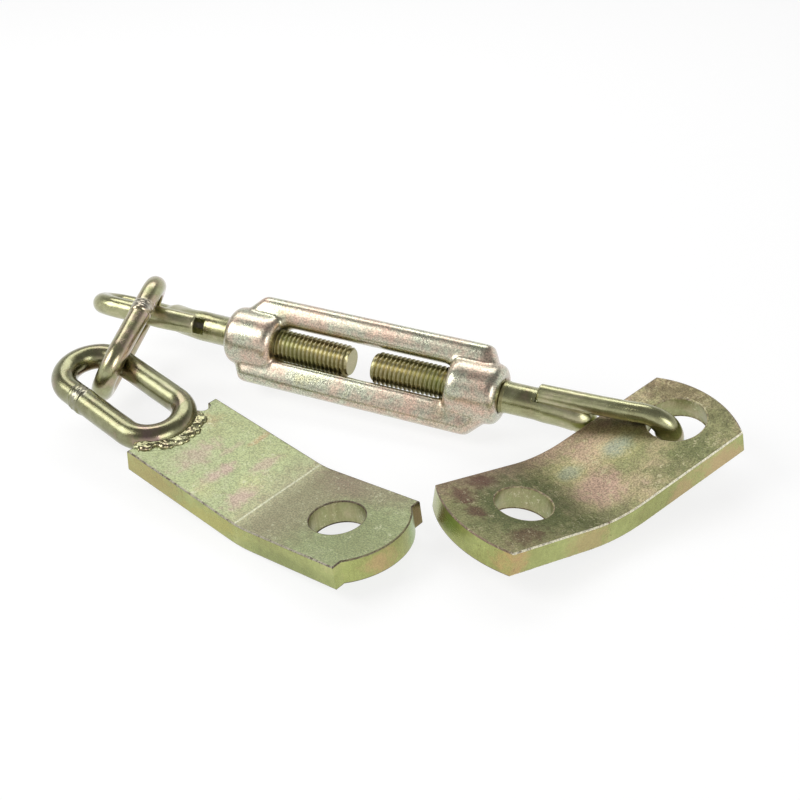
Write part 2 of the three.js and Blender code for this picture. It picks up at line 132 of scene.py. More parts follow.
# The link leans on the near leg of the left eye
alongShare, acrossShare = touch["legShares"]
leg = Vector((bolt["leftStep"] + alongShare * bolt["leftReach"], acrossShare * bolt["leftHalf"], 0)) * mm
linkFrame = hungFrame(turned(*lie["linkTurn"]), Vector(touch["legOnLink"]) * mm, leftFrame @ leg)

# The ring hangs in the link and carries the left plate
ringInWing = (
    moved(ring["letIn"] - leftCut["wing"], ring["across"], 0)
    @ turned(*lie["ringTurn"]) @ moved(x=-ring["length"] / 2)
)
leftPlateTurn = turned(*lie["leftPlateTurn"])
leftWing = turned(y=leftCut["bend"])
barTurn = math.radians(touch["barTurn"])
barHalf = ring["width"] / 2
barOnRing = Vector((
    -(ring["length"] / 2 - barHalf + barHalf * math.cos(barTurn)), barHalf * math.sin(barTurn), 0,
)) * mm
barPlace = linkFrame @ (Vector(touch["barOnLink"]) * mm)
wingTurn = leftPlateTurn @ leftWing
leftPlateFrame = Matrix.Translation(barPlace - wingTurn @ (ringInWing @ barOnRing)) @ leftPlateTurn
wingFrame = leftPlateFrame @ leftWing
ringFrame = wingFrame @ ringInWing

# The right plate hangs on the end of the right eye
eyeEnd = Vector((
    bolt["rightStep"] + bolt["rightReach"], touch["eyeEndShare"] * bolt["rightHalf"], 0,
)) * mm
holeAlong, holeAcross, holeRadius = rightCut["holes"][1]
fromHole = touch["eyeFromHole"]
eyeInWing = turned(y=-rightCut["bend"]) @ (Vector((
    holeAlong + fromHole[0], holeAcross + fromHole[1], fromHole[2] - plate["thickness"] / 2,
)) * mm)
rightPlateFrame = hungFrame(turned(*lie["rightPlateTurn"]), eyeInWing, rightFrame @ eyeEnd)
print("frames set")


# Mesh helpers

def addObject(name, data):
    made = bpy.data.objects.new(name, data)
    bpy.context.scene.collection.objects.link(made)
    return made


def meshFrom(name, vertices, faces):
    mesh = bpy.data.meshes.new(name)
    mesh.from_pydata([Vector(v) * mm for v in vertices], [], faces)
    return mesh


def placePiece(name, mesh, place, body, node, finishes):
    made = addObject(name, mesh)
    made.matrix_world = place
    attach(made, body)
    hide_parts(node)
    for finish in finishes:
        mesh.materials.append(finish)
    return made


def smooth(made, angle):
    mesh = made.data
    mesh.shade_smooth()
    mesh.set_sharp_from_angle(angle=math.radians(angle))


# Rings of equal count become a skin, closed on itself, or capped where the caps say
def skin(rings, closed, vertices, faces, caps=(True, True)):
    start = len(vertices)
    count = len(rings[0])
    for row in rings:
        vertices.extend(row)
    rows = len(rings)
    for i in range(rows if closed else rows - 1):
        a = start + i * count
        b = start + ((i + 1) % rows) * count
        for k in range(count):
            n = (k + 1) % count
            faces.append((a + k, a + n, b + n, b + k))
    if caps[0] and not closed:
        faces.append(tuple(start + k for k in reversed(range(count))))
    if caps[1] and not closed:
        faces.append(tuple(start + (rows - 1) * count + k for k in range(count)))


# A ring of points round a place on a flat route, whose radius may change with the turn
def hoop(place, heading, radius, sides):
    side = Vector((-heading.y, heading.x, 0))
    row = []
    for k in range(sides):
        angle = 2 * math.pi * k / sides
        reach = radius(angle) if callable(radius) else radius
        row.append(place + side * (reach * math.cos(angle)) + Vector((0, 0, reach * math.sin(angle))))
    return row


# Centripetal curve through the points of a route, walked at an even step
def walk(points, step, perSpan=24):
    spots = [Vector(p) for p in points]
    padded = [2 * spots[0] - spots[1]] + spots + [2 * spots[-1] - spots[-2]]
    dense = []
    for i in range(len(spots) - 1):
        p = padded[i:i + 4]
        t = [0]
        for k in range(3):
            t.append(t[-1] + (p[k + 1] - p[k]).length ** 0.5)
        for n in range(perSpan):
            u = t[1] + (t[2] - t[1]) * n / perSpan
            a = [((t[k + 1] - u) * p[k] + (u - t[k]) * p[k + 1]) / (t[k + 1] - t[k]) for k in range(3)]
            b = [((t[k + 2] - u) * a[k] + (u - t[k]) * a[k + 1]) / (t[k + 2] - t[k]) for k in range(2)]
            dense.append(((t[2] - u) * b[0] + (u - t[1]) * b[1]) / (t[2] - t[1]))
    dense.append(spots[-1])
    lengths = [0]
    for before, after in zip(dense[:-1], dense[1:]):
        lengths.append(lengths[-1] + (after - before).length)
    count = max(2, round(lengths[-1] / step))
    out = []
    k = 0
    for n in range(count + 1):
        want = lengths[-1] * n / count
        while k < len(lengths) - 2 and lengths[k + 1] < want:
            k += 1
        share = (want - lengths[k]) / (lengths[k + 1] - lengths[k])
        out.append((dense[k].lerp(dense[k + 1], share), (dense[k + 1] - dense[k]).normalized(), want))
    return out


def applyAll(made):
    bpy.context.view_layer.update()
    depsgraph = bpy.context.evaluated_depsgraph_get()
    fresh = bpy.data.meshes.new_from_object(made.evaluated_get(depsgraph))
    made.modifiers.clear()
    old = made.data
    made.data = fresh
    bpy.data.meshes.remove(old)


# Overlapping shells become one skin, softened where they meet
def fuse(rough, voxel, factor, passes):
    joined = rough.modifiers.new("fuse", "REMESH")
    joined.mode = "VOXEL"
    joined.voxel_size = voxel * mm
    soften = rough.modifiers.new("soften", "SMOOTH")
    soften.factor = factor
    soften.iterations = passes
    applyAll(rough)


# The bare mesh of a working object, which is then removed
def takeMesh(rough):
    mesh = rough.data.copy()
    mesh.materials.clear()
    bpy.data.objects.remove(rough)
    return mesh


# Shader helpers

def addNode(tree, kind, settings=None, **inputs):
    made = tree.nodes.new(kind)
    for key, value in (settings or {}).items():
        setattr(made, key, value)
    for key, value in inputs.items():
        socket = made.inputs[int(key[1:])] if key[0] == "_" else made.inputs[key.replace("_", " ")]
        if isinstance(value, bpy.types.NodeSocket):
            tree.links.new(value, socket)
        else:
            socket.default_value = value
    return made


def paint(r, g, b):
    return tuple(((c / 255 + 0.055) / 1.055) ** 2.4 if c > 10 else c / 3295 for c in (r, g, b)) + (1,)


def mixColour(tree, factor, first, second, blend="MIX"):
    settings = {"data_type": "RGBA", "blend_type": blend}
    return addNode(tree, "ShaderNodeMix", settings, _0=factor, _6=first, _7=second).outputs[2]


def span(tree, value, low, high, fromLow=0.0, toHigh=1.0):
    made = addNode(
        tree, "ShaderNodeMapRange", {"interpolation_type": "SMOOTHSTEP"},
        Value=value, From_Min=low, From_Max=high, To_Min=fromLow, To_Max=toHigh,
    )
    return made.outputs["Result"]


def mathNode(tree, operation, first, second=0.0, third=0.0):
    return addNode(tree, "ShaderNodeMath", {"operation": operation}, _0=first, _1=second, _2=third).outputs[0]


def noiseNode(tree, vector, scale, detail, roughness, distortion=0.0):
    return addNode(
        tree, "ShaderNodeTexNoise", Vector=vector, Scale=scale, Detail=detail, Roughness=roughness,
        Distortion=distortion,
    ).outputs["Fac"]


def vectorNode(tree, operation, first, second):
    made = addNode(tree, "ShaderNodeVectorMath", {"operation": operation}, _0=first, _1=second)
    return made.outputs["Vector"]


def newGroup(name, inputs, outputs):
    tree = bpy.data.node_groups.new(name, "ShaderNodeTree")
    kinds = {"float": "NodeSocketFloat", "colour": "NodeSocketColor", "vector": "NodeSocketVector"}
    for label, kind in inputs:
        tree.interface.new_socket(name=label, in_out="INPUT", socket_type=kinds[kind])
    for label, kind in outputs:
        tree.interface.new_socket(name=label, in_out="OUTPUT", socket_type=kinds[kind])
    return tree, tree.nodes.new("NodeGroupInput").outputs, tree.nodes.new("NodeGroupOutput").inputs


# Chromate film: its thickness drifts over the surface, and the colour follows the thickness
film = {
    "colours": [
        (0.0, (104, 88, 66)), (0.14, (146, 122, 102)), (0.27, (194, 171, 156)), (0.38, (188, 176, 142)),
        (0.5, (166, 168, 122)), (0.64, (184, 190, 142)), (0.77, (208, 206, 166)), (0.88, (192, 200, 188)),
        (1.0, (208, 186, 176)),
    ],
    "broadNoise": (3.0, 0.5, 0.7), "mottleNoise": (4.0, 0.65), "mottleScale": 6.3, "mottle": 0.55,
    "fineNoise": (2.0, 0.8), "grainBand": (0.36, 0.64), "roughBand": (0.3, 0.7),
}


def makeFilmGroup():
    tree, given, wanted = newGroup(
        "chromateFilm",
        [("Vector", "vector"), ("Thickness", "float"), ("Drift", "float"), ("Patch Scale", "float"),
         ("Speckle Scale", "float"), ("Speckle", "float")],
        [("Color", "colour"), ("Patch", "float"), ("Grain", "float"), ("Height", "float")],
    )
    broad = noiseNode(tree, given["Vector"], given["Patch Scale"], *film["broadNoise"])
    mottleScale = mathNode(tree, "MULTIPLY", given["Patch Scale"], film["mottleScale"])
    mottle = noiseNode(tree, given["Vector"], mottleScale, *film["mottleNoise"])
    fine = noiseNode(tree, given["Vector"], given["Speckle Scale"], *film["fineNoise"])
    shifted = mathNode(tree, "SUBTRACT", broad, 0.5)
    mottled = mathNode(tree, "MULTIPLY", mathNode(tree, "SUBTRACT", mottle, 0.5), film["mottle"])
    drift = mathNode(tree, "MULTIPLY", mathNode(tree, "ADD", shifted, mottled), given["Drift"])
    thickness = mathNode(tree, "ADD", given["Thickness"], drift)
    ramp = addNode(tree, "ShaderNodeValToRGB", Fac=thickness)
    stops = film["colours"]
    ramp.color_ramp.elements[0].position = stops[0][0]
    ramp.color_ramp.elements[0].color = paint(*stops[0][1])
    ramp.color_ramp.elements[1].position = stops[-1][0]
    ramp.color_ramp.elements[1].color = paint(*stops[-1][1])
    for position, colour in stops[1:-1]:
        ramp.color_ramp.elements.new(position).color = paint(*colour)
    grain = span(tree, fine, *film["grainBand"])
    light = mathNode(tree, "MULTIPLY_ADD", grain, given["Speckle"], 1.0)
    light = mathNode(tree, "MULTIPLY_ADD", given["Speckle"], -0.5, light)
    shade = addNode(tree, "ShaderNodeCombineColor", _0=light, _1=light, _2=light).outputs[0]
    colour = mixColour(tree, 1.0, ramp.outputs["Color"], shade, "MULTIPLY")
    tree.links.new(colour, wanted["Color"])
    tree.links.new(broad, wanted["Patch"])
    tree.links.new(grain, wanted["Grain"])
    tree.links.new(fine, wanted["Height"])
    return tree


patchRim = {"noise": (4.0, 0.6), "band": (0.35, 1.25)}
drawn = {"noise": (3.0, 0.7), "band": (0.35, 0.65), "darken": 0.6, "rise": 0.8, "colour": (120, 112, 84)}
rubbed = {
    "noise": (2.0, 0.6, 1.2), "gatherNoise": (1.0, 0.5), "gatherScale": 0.14, "gather": 0.4, "edge": 0.04,
}


# A patch laid at one place on a piece, with a ragged rim
def makePatchGroup():
    tree, given, wanted = newGroup(
        "placedPatch",
        [("Vector", "vector"), ("Centre", "vector"), ("Reach", "vector"), ("Ragged", "float"),
         ("Rag Scale", "float")],
        [("Mask", "float")],
    )
    away = vectorNode(tree, "SUBTRACT", given["Vector"], given["Centre"])
    share = vectorNode(tree, "DIVIDE", away, given["Reach"])
    far = addNode(tree, "ShaderNodeVectorMath", {"operation": "LENGTH"}, _0=share).outputs["Value"]
    rag = noiseNode(tree, given["Vector"], given["Rag Scale"], *patchRim["noise"])
    rag = mathNode(tree, "MULTIPLY", mathNode(tree, "SUBTRACT", rag, 0.5), given["Ragged"])
    mask = span(tree, mathNode(tree, "ADD", far, rag), *patchRim["band"], 1.0, 0.0)
    tree.links.new(mask, wanted["Mask"])
    return tree


# Fine lines drawn along one direction, such as grind marks and the streaks of a sheared edge
def makeLinesGroup():
    tree, given, wanted = newGroup(
        "drawnLines",
        [("Vector", "vector"), ("Direction", "vector"), ("Scale", "float"), ("Amount", "float")],
        [("Lines", "float")],
    )
    stretched = vectorNode(tree, "MULTIPLY", given["Vector"], given["Direction"])
    streak = noiseNode(tree, stretched, given["Scale"], *drawn["noise"])
    lines = mathNode(tree, "MULTIPLY", span(tree, streak, *drawn["band"]), given["Amount"])
    tree.links.new(lines, wanted["Lines"])
    return tree


# Small bright flecks and nicks where the film is rubbed through
def makeFlecksGroup():
    tree, given, wanted = newGroup(
        "rubbedFlecks", [("Vector", "vector"), ("Scale", "float"), ("Rarity", "float")], [("Mask", "float")],
    )
    dots = noiseNode(tree, given["Vector"], given["Scale"], *rubbed["noise"])
    gatherScale = mathNode(tree, "MULTIPLY", given["Scale"], rubbed["gatherScale"])
    where = noiseNode(tree, given["Vector"], gatherScale, *rubbed["gatherNoise"])
    strong = mathNode(tree, "MULTIPLY_ADD", mathNode(tree, "SUBTRACT", where, 0.5), rubbed["gather"], dots)
    start = mathNode(tree, "ADD", given["Rarity"], rubbed["edge"])
    mask = span(tree, strong, given["Rarity"], start)
    tree.links.new(mask, wanted["Mask"])
    return tree


filmGroup = makeFilmGroup()
patchGroup = makePatchGroup()
linesGroup = makeLinesGroup()
flecksGroup = makeFlecksGroup()


# A plated finish is the film, then the patches and lines that its look names
def platedFinish(name, look):
    material = bpy.data.materials.new(name)
    material.use_nodes = True
    tree = material.node_tree
    tree.nodes.clear()
    spot = addNode(tree, "ShaderNodeTexCoord").outputs["Object"]
    shifted = addNode(tree, "ShaderNodeMapping", Vector=spot)
    shifted.inputs["Location"].default_value = look.get("shift", (0, 0, 0))
    own = shifted.outputs["Vector"]
    plating = addNode(
        tree, "ShaderNodeGroup", {"node_tree": filmGroup}, Vector=own,
        Thickness=look["thickness"], Drift=look["drift"], Patch_Scale=look["patchScale"],
        Speckle_Scale=look["speckleScale"], Speckle=look["speckle"],
    ).outputs
    colour = plating["Color"]
    height = plating["Height"]
    low, high = look["roughness"]
    rough = span(tree, plating["Patch"], *film["roughBand"], low, high)
    if "lines" in look:
        direction, scale, amount = look["lines"]
        lines = addNode(
            tree, "ShaderNodeGroup", {"node_tree": linesGroup}, Vector=spot,
            Direction=direction, Scale=scale, Amount=amount,
        ).outputs["Lines"]
        dark = mixColour(tree, 1.0, colour, paint(*look.get("lineColour", drawn["colour"])), "MULTIPLY")
        colour = mixColour(tree, mathNode(tree, "MULTIPLY", lines, drawn["darken"]), colour, dark)
        height = mathNode(tree, "ADD", height, mathNode(tree, "MULTIPLY", lines, drawn["rise"]))
    light = mathNode(tree, "MULTIPLY_ADD", plating["Grain"], look["speckle"], 1 - look["speckle"] / 2)
    grainLight = addNode(tree, "ShaderNodeCombineColor", _0=light, _1=light, _2=light).outputs[0]
    for centre, reach, tone, strength, ragged in look.get("patches", []):
        mask = addNode(
            tree, "ShaderNodeGroup", {"node_tree": patchGroup}, Vector=spot,
            Centre=tuple(c * mm for c in centre), Reach=tuple(r * mm for r in reach),
            Ragged=ragged, Rag_Scale=look.get("ragScale", 240.0),
        ).outputs["Mask"]
        shaded = mixColour(tree, 1.0, paint(*tone), grainLight, "MULTIPLY")
        colour = mixColour(tree, mathNode(tree, "MULTIPLY", mask, strength), colour, shaded)
    if "flecks" in look:
        scale, rarity, strength, tone = look["flecks"]
        mask = addNode(
            tree, "ShaderNodeGroup", {"node_tree": flecksGroup}, Vector=spot, Scale=scale, Rarity=rarity,
        ).outputs["Mask"]
        colour = mixColour(tree, mathNode(tree, "MULTIPLY", mask, strength), colour, paint(*tone))
    if "tone" in look:
        colour = mixColour(tree, 1.0, colour, paint(*look["tone"]), "MULTIPLY")
    shader = addNode(
        tree, "ShaderNodeBsdfPrincipled", Metallic=look["metallic"], Coat_Weight=look["coat"],
        Coat_Roughness=look["coatRoughness"], Base_Color=colour, Roughness=rough,
    )
    bump = addNode(
        tree, "ShaderNodeBump", Strength=look["bump"], Distance=look["bumpDepth"] * mm, Height=height,
    )
    tree.links.new(bump.outputs["Normal"], shader.inputs["Normal"])
    addNode(tree, "ShaderNodeOutputMaterial", Surface=shader.outputs[0])
    return material


# Finishes of the bar pieces
rodLook = {
    "thickness": 0.43, "drift": 0.85, "patchScale": 45, "speckleScale": 1300, "speckle": 0.14,
    "metallic": 1.0, "roughness": (0.19, 0.32), "bump": 0.24, "bumpDepth": 0.16, "coat": 0.5,
    "coatRoughness": 0.1, "tone": (240, 233, 238),
}
silver = (206, 206, 186)
pocketShadeTone = (96, 97, 98)
linkFinish = platedFinish("platedLink", dict(
    rodLook, thickness=0.43, shift=(0.02, 0, 0.04), tone=(238, 234, 240),
    patches=[((link["weldAlong"], -14, 0), (4.4, 9, 8), silver, 0.75, 1.6)],
))
ringFinish = platedFinish("platedRing", dict(
    rodLook, thickness=0.5, shift=(0.2, 0.1, 0), tone=(198, 193, 196),
    patches=[((ring["weldAlong"], -15, 2), (4, 9, 9), silver, 0.7, 1.6)],
))
boltFinish = platedFinish("platedBolt", dict(
    rodLook, thickness=0.58, drift=0.7, patchScale=38, shift=(0.3, 0.1, 0), lines=((0.12, 1, 1), 900.0, 0.3),
))
threadFinish = platedFinish("platedThread", dict(
    rodLook, thickness=0.42, drift=0.25, roughness=(0.28, 0.38), speckle=0.2, coat=0.2,
    tone=(236, 238, 228),
))
# Near-black finish for the pocket in the notch of the left eye: painted shade of the deep recess, with a
# darker patch in its middle
pocketShadeFinish = platedFinish("paintedPocketShade", dict(
    rodLook, thickness=0.02, drift=0.2, roughness=(0.35, 0.6), metallic=0.6, coat=0.0, bump=0.5,
    patches=[((91, 2, 0), (12, 12, 12), pocketShadeTone, 0.8, 0.5)],
))
weldFinish = platedFinish("platedWeld", dict(
    rodLook, thickness=0.55, drift=0.9, patchScale=180, speckle=0.25, roughness=(0.18, 0.32), bump=0.3,
    tone=(222, 216, 218),
))
# Olive for the corners where a boss meets an arm: partly the film's olive tint, partly painted shade of the
# corner
oliveFilletShade = (150, 160, 104)
rust = (120, 92, 66)
forgedFinish = platedFinish("forgedPlating", {
    "thickness": 0.92, "drift": 0.42, "patchScale": 52, "speckleScale": 1350, "speckle": 0.7,
    "metallic": 1.0, "roughness": (0.25, 0.33), "bump": 0.36, "bumpDepth": 0.16, "coat": 0.5,
    "coatRoughness": 0.2, "tone": (250, 244, 231),
    "patches": [
        ((-46.2, 0, 0), (1.5, 13, 15), silver, 0.7, 1.2), ((46.2, 0, 0), (1.2, 13, 15), silver, 0.4, 1.8),
        # Olive patches where a boss meets an arm: film tint and painted shade of that corner
        ((-46, 14, 0), (8, 9, 9), oliveFilletShade, 0.5, 0.8), ((46, -14, 0), (8, 9, 9), oliveFilletShade, 0.45, 0.8),
        ((-73, 0, 0), (1.6, 10, 10), rust, 0.8, 0.9), ((73, 0, 0), (1.6, 10, 10), rust, 0.8, 0.9),
    ],
})

# Finishes of the plates, with the patches where they lie on each one
mauve = (168, 142, 128)
pink = (206, 172, 162)
maroon = (126, 88, 82)
moss = (106, 118, 74)
straw = (198, 196, 142)
bloom = (158, 176, 170)
orange = (204, 160, 124)
blush = (206, 166, 152)
# Pale cream for painted highlights along plate edges
paintedEdgeHighlight = (240, 236, 214)
faceLook = {
    "thickness": 0.6, "drift": 0.42, "patchScale": 38, "speckleScale": 1150, "speckle": 0.5,
    "metallic": 0.9, "roughness": (0.33, 0.45), "bump": 0.6, "bumpDepth": 0.3, "coat": 0.12,
    "coatRoughness": 0.3, "flecks": (620.0, 0.64, 0.7, (216, 212, 176)),
}
leftFaceFinish = platedFinish("leftPlateFace", dict(faceLook, tone=(224, 228, 232), patches=[
    ((-46, 20, 0), (7, 15, 30), pink, 0.55, 2.3), ((-30, 17, 0), (4, 14, 30), pink, 0.7, 2.1),
    ((-12, 14, 0), (5, 11, 30), pink, 0.65, 2.3), ((-20, 36, 0), (4, 10, 30), pink, 0.5, 2.3),
    ((-62, 40, 0), (7, 8, 30), orange, 0.3, 2.2), ((-38, 33, 0), (2, 8, 30), pink, 0.35, 2.2),
    ((-34, 48, 0), (1.8, 9, 30), orange, 0.55, 1.2), ((-27, 7, 0), (7, 7, 30), straw, 0.5, 1.5),
    # The mauve patches at 10 and 30 along, on the wing beyond the crease, are partly the film's pinkish tint
    # and partly painted shade that darkens that wing against the other
    ((-16, 24, 0), (8, 6, 30), straw, 0.4, 1.8), ((10, 30, 0), (24, 62, 40), mauve, 0.42, 1.0),
    ((30, 52, 0), (30, 14, 40), mauve, 0.5, 1.4), ((50, 16, 0), (34, 40, 40), moss, 0.3, 1.4),
    # Thin pale stripe along the crease of the bend: a painted highlight where the bend catches the light
    ((-2.2, 27, 0), (0.6, 90, 30), (226, 222, 192), 0.7, 0.12),
]))
rightFaceFinish = platedFinish("rightPlateFace", dict(
    faceLook, thickness=0.45, drift=0.55, patchScale=34, speckle=0.6, tone=(206, 203, 195), patches=[
        ((-2, 58, 0), (95, 14, 60), mauve, 0.75, 1.5), ((-30, 27, 0), (30, 26, 60), moss, 0.85, 1.8),
        ((-37, 48.5, 0), (8, 5, 60), maroon, 0.75, 2.2), ((-51, 43, 0), (6, 8, 60), maroon, 0.75, 2.2),
        ((-53, 31, 0), (5, 6, 60), maroon, 0.7, 2.2), ((-44, 8, 0), (11, 6, 60), maroon, 0.6, 2.2),
        ((6, 20, 0), (14, 14, 60), pink, 0.75, 1.6), ((17, 40, 0), (15, 8, 60), pink, 0.5, 1.6),
        ((27, 34, 0), (13, 10, 60), straw, 0.6, 1.4), ((27, 34, 0), (9, 6, 60), bloom, 0.62, 1.0),
        ((2, 36, 0), (10, 9, 60), straw, 0.6, 1.4), ((2, 36, 0), (7, 5, 60), bloom, 0.5, 1.0),
        ((68, 42, 0), (14, 22, 60), (132, 110, 86), 0.65, 2.2), ((40, 8, 0), (22, 9, 60), moss, 0.6, 2.2),
        ((-8, 4, 0), (20, 6, 60), moss, 0.6, 1.8), ((72, 14, 0), (10, 14, 60), moss, 0.6, 2.0),
        ((66, 30, 0), (20, 36, 60), (116, 112, 80), 0.5, 1.6),
    ],
))
shearLook = dict(
    faceLook, thickness=0.58, drift=0.55, speckle=0.16, patchScale=30, roughness=(0.2, 0.3), bump=0.2,
    lines=((1, 1, 0.12), 420.0, 0.14), coat=0.3, flecks=(500.0, 0.7, 0.5, (120, 108, 84)),
    tone=(238, 240, 200),
)
leftShearFinish = platedFinish("leftShearedSide", dict(shearLook, patches=[
    ((62, 20, -6), (10, 9, 6), blush, 0.6, 1.6), ((60, 44, -6), (12, 8, 20), (136, 176, 104), 0.6, 1.4),
    ((-60, 0, 0), (26, 4, 22), (188, 160, 112), 0.5, 1.5), ((56, 52, -6), (4, 6, 10), rust, 0.85, 0.9),
    ((-20, 0, -3), (26, 4, 6), (196, 182, 118), 0.5, 1.5), ((28, 0, -9), (30, 4, 5), moss, 0.4, 1.5),
]))
rightShearFinish = platedFinish("rightShearedSide", dict(shearLook, patches=[
    ((60, 0, 14), (18, 4, 10), blush, 0.65, 1.8), ((36, 0, 4), (8, 4, 10), blush, 0.55, 1.8),
    ((-54, 4, -6), (7, 8, 20), (212, 168, 144), 0.7, 1.6), ((-16, 0, -6), (12, 4, 10), blush, 0.45, 1.8),
]))
punchFinish = platedFinish("punchedWall", dict(
    faceLook, thickness=0.5, drift=0.4, speckle=0.16, roughness=(0.28, 0.4), bump=0.3,
    lines=((1, 1, 0.08), 620.0, 0.4), lineColour=(170, 160, 120),
))
cornerLook = dict(
    faceLook, thickness=0.06, drift=0.25, patchScale=200, speckle=0.6, roughness=(0.3, 0.5),
    ragScale=420.0, tone=(176, 172, 166), metallic=0.12,
)
# Pale stripe along the near top edge: a painted highlight where the rolled edge catches the light
leftCornerFinish = platedFinish("leftPlateCorner", dict(cornerLook, patches=[
    ((0, 0, 0), (90, 3, 40), paintedEdgeHighlight, 0.9, 5.5), ((66, 27, 0), (14, 30, 40), straw, 0.6, 3.4),
    ((33, 27, -5), (16, 16, 9), straw, 0.7, 2.6),
]))
# The right plate's corners take a lighter tone than the left's, and pale stripes along the near top edge:
# painted highlight where the rolled edge catches the light
rightCornerFinish = platedFinish("rightPlateCorner", dict(cornerLook, tone=(255, 254, 250), patches=[
    ((44, 0, 10), (62, 4, 60), paintedEdgeHighlight, 1.0, 2.0), ((-30, 0, 0), (40, 3, 20), paintedEdgeHighlight, 0.9, 4.6),
    ((-30, 27, -5), (17, 17, 9), straw, 0.6, 2.8), ((58, 27, 20), (18, 18, 20), straw, 0.6, 2.8),
]))
print("finishes made")


# Forged body

def outlineCurve(name, loops, extrude, bevel, steps):
    curve = bpy.data.curves.new(name, "CURVE")
    curve.dimensions = "2D"
    curve.fill_mode = "BOTH"
    for loop in loops:
        spline = curve.splines.new("POLY")
        spline.points.add(len(loop) - 1)
        for point, (x, y) in zip(spline.points, loop):
            point.co = (x * mm, y * mm, 0, 1)
        spline.use_cyclic_u = True
    curve.extrude = (extrude - bevel) * mm
    curve.bevel_depth = bevel * mm
    curve.bevel_resolution = steps
    curve.offset = -bevel * mm
    holder = addObject(name, curve)
    bpy.context.view_layer.update()
    mesh = bpy.data.meshes.new_from_object(holder.evaluated_get(bpy.context.evaluated_depsgraph_get()))
    bpy.data.objects.remove(holder)
    bpy.data.curves.remove(curve)
    return mesh


def arcPoints(centre, radius, start, end, count):
    out = []
    for n in range(count + 1):
        angle = math.radians(start + (end - start) * n / count)
        out.append((centre[0] + radius * math.cos(angle), centre[1] + radius * math.sin(angle)))
    return out


def roundCorners(corners, radius, steps=6):
    out = []
    count = len(corners)
    for i, corner in enumerate(corners):
        here = Vector(corner)
        before = here + (Vector(corners[i - 1]) - here).normalized() * radius
        after = here + (Vector(corners[(i + 1) % count]) - here).normalized() * radius
        for n in range(steps + 1):
            t = n / steps
            spot = before * (1 - t) ** 2 + here * 2 * t * (1 - t) + after * t * t
            out.append((spot.x, spot.y))
    return out


forging = {
    "length": 145.5, "width": 44.8, "depth": 14.4, "bevel": 4.8, "bevelSteps": 2, "taper": 14,
    "shortTaper": 10, "outlineCorner": 2, "window": 93.2, "windowCorner": 6, "nearGap": 8.2, "farGap": 9.1,
    "nearRib": 7.5, "ribBevel": 2.2, "ribSteps": 1,
    "boss": 29.6, "bossLength": 26.8, "bossRound": 4.5, "bossCore": 0.5, "bossSides": 64, "roundSteps": 6,
    "bore": 8.25, "boreRound": 0.9, "boreSides": 72, "drillOver": 4,
    "mergeGap": 0.01, "voxel": 0.57, "softenBy": 0.6, "softenPasses": 32, "sharpAngle": 70,
}


def forgedFrame(shell):
    f = forging
    half = f["length"] / 2
    wide = f["width"] / 2
    mouth = f["boss"] / 2 - f["bossRound"] / 2
    end = half - f["bossRound"]
    outer = [
        (end, -mouth), (end, mouth), (half - f["shortTaper"], wide), (f["taper"] - half, wide),
        (-end, mouth), (-end, -mouth), (f["shortTaper"] - half, -wide), (half - f["taper"], -wide),
    ]
    pane = f["window"] / 2
    near = f["nearGap"]
    far = f["farGap"]
    inner = [(pane, -near), (-pane, -near), (-pane, far), (pane, far)]
    loops = [roundCorners(outer, f["outlineCorner"]), roundCorners(inner, f["windowCorner"])]
    shell.from_mesh(outlineCurve("forgingFrame", loops, f["depth"] / 2, f["bevel"], f["bevelSteps"]))
    rib = [(-pane, -near - f["nearRib"]), (pane, -near - f["nearRib"]), (pane, -near), (-pane, -near)]
    shell.from_mesh(outlineCurve("nearRib", [rib], f["depth"] / 2, f["ribBevel"], f["ribSteps"]))
    bmesh.ops.remove_doubles(shell, verts=shell.verts, dist=f["mergeGap"] * mm)


# A boss at each end, with both its rims rounded
def forgedBosses(shell):
    f = forging
    high = f["length"] / 2
    low = high - f["bossLength"]
    rim = f["bossRound"]
    top = f["boss"] / 2
    turns = [math.pi / 2 * n / f["roundSteps"] for n in range(f["roundSteps"] + 1)]
    profile = [(low, f["bossCore"])]
    profile += [(low + rim * (1 - math.cos(a)), top - rim * (1 - math.sin(a))) for a in turns]
    profile += [(high - rim * (1 - math.sin(a)), top - rim * (1 - math.cos(a))) for a in turns]
    profile += [(high, f["bossCore"])]
    vertices = []
    faces = []
    for side in (-1, 1):
        heading = Vector((side, 0, 0))
        rings = [hoop(Vector((side * s, 0, 0)), heading, r, f["bossSides"]) for s, r in profile]
        skin(rings, False, vertices, faces)
    shell.from_mesh(meshFrom("bosses", vertices, faces))


# One bore through both bosses, widened at their outer mouths
def drillForging(rough):
    f = forging
    half = f["length"] / 2
    reach = half + f["drillOver"]
    wide = f["bore"] + f["boreRound"]
    inside = half - f["boreRound"]
    stations = [
        (-reach, wide), (-half, wide), (-inside, f["bore"]), (inside, f["bore"]), (half, wide), (reach, wide),
    ]
    rings = [hoop(Vector((s, 0, 0)), Vector((1, 0, 0)), r, f["boreSides"]) for s, r in stations]
    vertices = []
    faces = []
    skin(rings, False, vertices, faces)
    cutter = addObject("bore", meshFrom("bore", vertices, faces))
    drill = rough.modifiers.new("drill", "BOOLEAN")
    drill.operation = "DIFFERENCE"
    drill.solver = "EXACT"
    drill.object = cutter
    applyAll(rough)
    bpy.data.objects.remove(cutter)


def makeForging():
    shell = bmesh.new()
    forgedFrame(shell)
    forgedBosses(shell)
    bmesh.ops.recalc_face_normals(shell, faces=shell.faces)
    joined = bpy.data.meshes.new("turnbuckleForging")
    shell.to_mesh(joined)
    shell.free()
    rough = addObject("turnbuckleForging", joined)
    fuse(rough, forging["voxel"], forging["softenBy"], forging["softenPasses"])
    drillForging(rough)
    body = placePiece(
        "turnbuckleForging", takeMesh(rough), bodyFrame, "turnbuckle", "turnbuckle_body",
        [forgedFinish],
    )
    smooth(body, forging["sharpAngle"])


makeForging()
print("forged body made")


# Eye bolts

